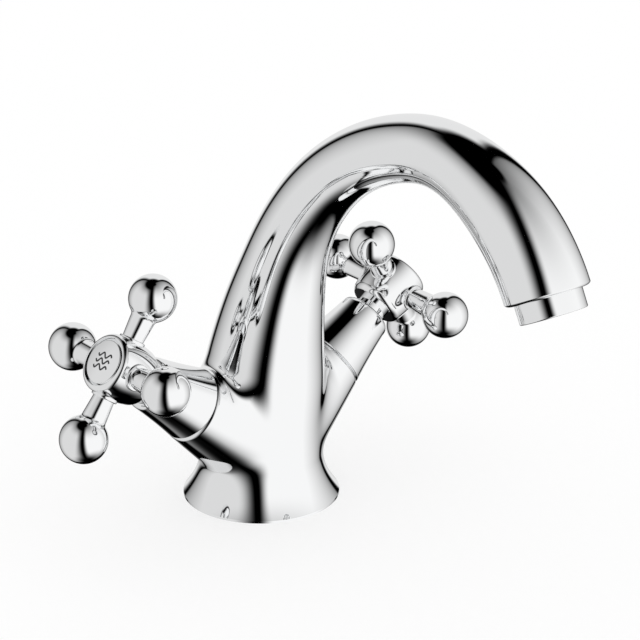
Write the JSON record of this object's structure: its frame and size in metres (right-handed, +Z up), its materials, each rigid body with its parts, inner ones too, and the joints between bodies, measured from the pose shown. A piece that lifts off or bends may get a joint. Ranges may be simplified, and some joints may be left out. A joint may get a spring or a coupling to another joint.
{
  "type": "basin mixer tap",
  "caption": "Deck-mounted basin mixer tap with an arched swan-neck spout and a ball-ended cross handle on each tilted side valve.",
  "frame": {"origin": "centre of the round base on the deck plane", "axes": "+Z up out of the deck, the spout points along -Y, the hot valve is on -X and the cold valve on +X"},
  "size_m": [0.1668, 0.1835, 0.1568],
  "materials": {
    "chrome": "polished chrome plate",
    "brass": "turned brass",
    "steel": "plain stainless steel",
    "rubber": "matt black rubber",
    "ceramic": "lapped white ceramic",
    "plastic": "moulded pale grey plastic"
  },
  "bodies": {
    "tap_body": {"body_casting": "chrome", "base_gasket": "rubber", "aerator_washer": "rubber", "aerator_housing": "chrome", "aerator_insert": "plastic", "aerator_screen": "steel", "hot_valve_body": "brass", "hot_valve_washer": "rubber", "hot_seat_seal": "rubber", "hot_fixed_disc": "ceramic", "hot_shroud": "chrome", "cold_valve_body": "brass", "cold_valve_washer": "rubber", "cold_seat_seal": "rubber", "cold_fixed_disc": "ceramic", "cold_shroud": "chrome"},
    "hot_handle": {"hot_moving_disc": "ceramic", "hot_spindle": "brass", "hot_spindle_seals": "rubber", "hot_circlip": "steel", "hot_handle_hub": "chrome", "hot_handle_arm_1": "chrome", "hot_handle_arm_2": "chrome", "hot_handle_arm_3": "chrome", "hot_handle_arm_4": "chrome", "hot_handle_screw": "steel", "hot_index_cap": "chrome"},
    "cold_handle": {"cold_moving_disc": "ceramic", "cold_spindle": "brass", "cold_spindle_seals": "rubber", "cold_circlip": "steel", "cold_handle_hub": "chrome", "cold_handle_arm_1": "chrome", "cold_handle_arm_2": "chrome", "cold_handle_arm_3": "chrome", "cold_handle_arm_4": "chrome", "cold_handle_screw": "steel", "cold_index_cap": "chrome"}
  },
  "joints": [
    {"name": "hot_valve", "type": "hinge", "parent": "tap_body", "child": "hot_handle", "pos_m": [-0.06048, 0, 0.06242], "axis": [-0.8184, 0, 0.5747], "range_deg": [0, 90]},
    {"name": "cold_valve", "type": "hinge", "parent": "tap_body", "child": "cold_handle", "pos_m": [0.06048, 0, 0.06242], "axis": [0.8184, 0, 0.5747], "range_deg": [-90, 0]}
  ]
}
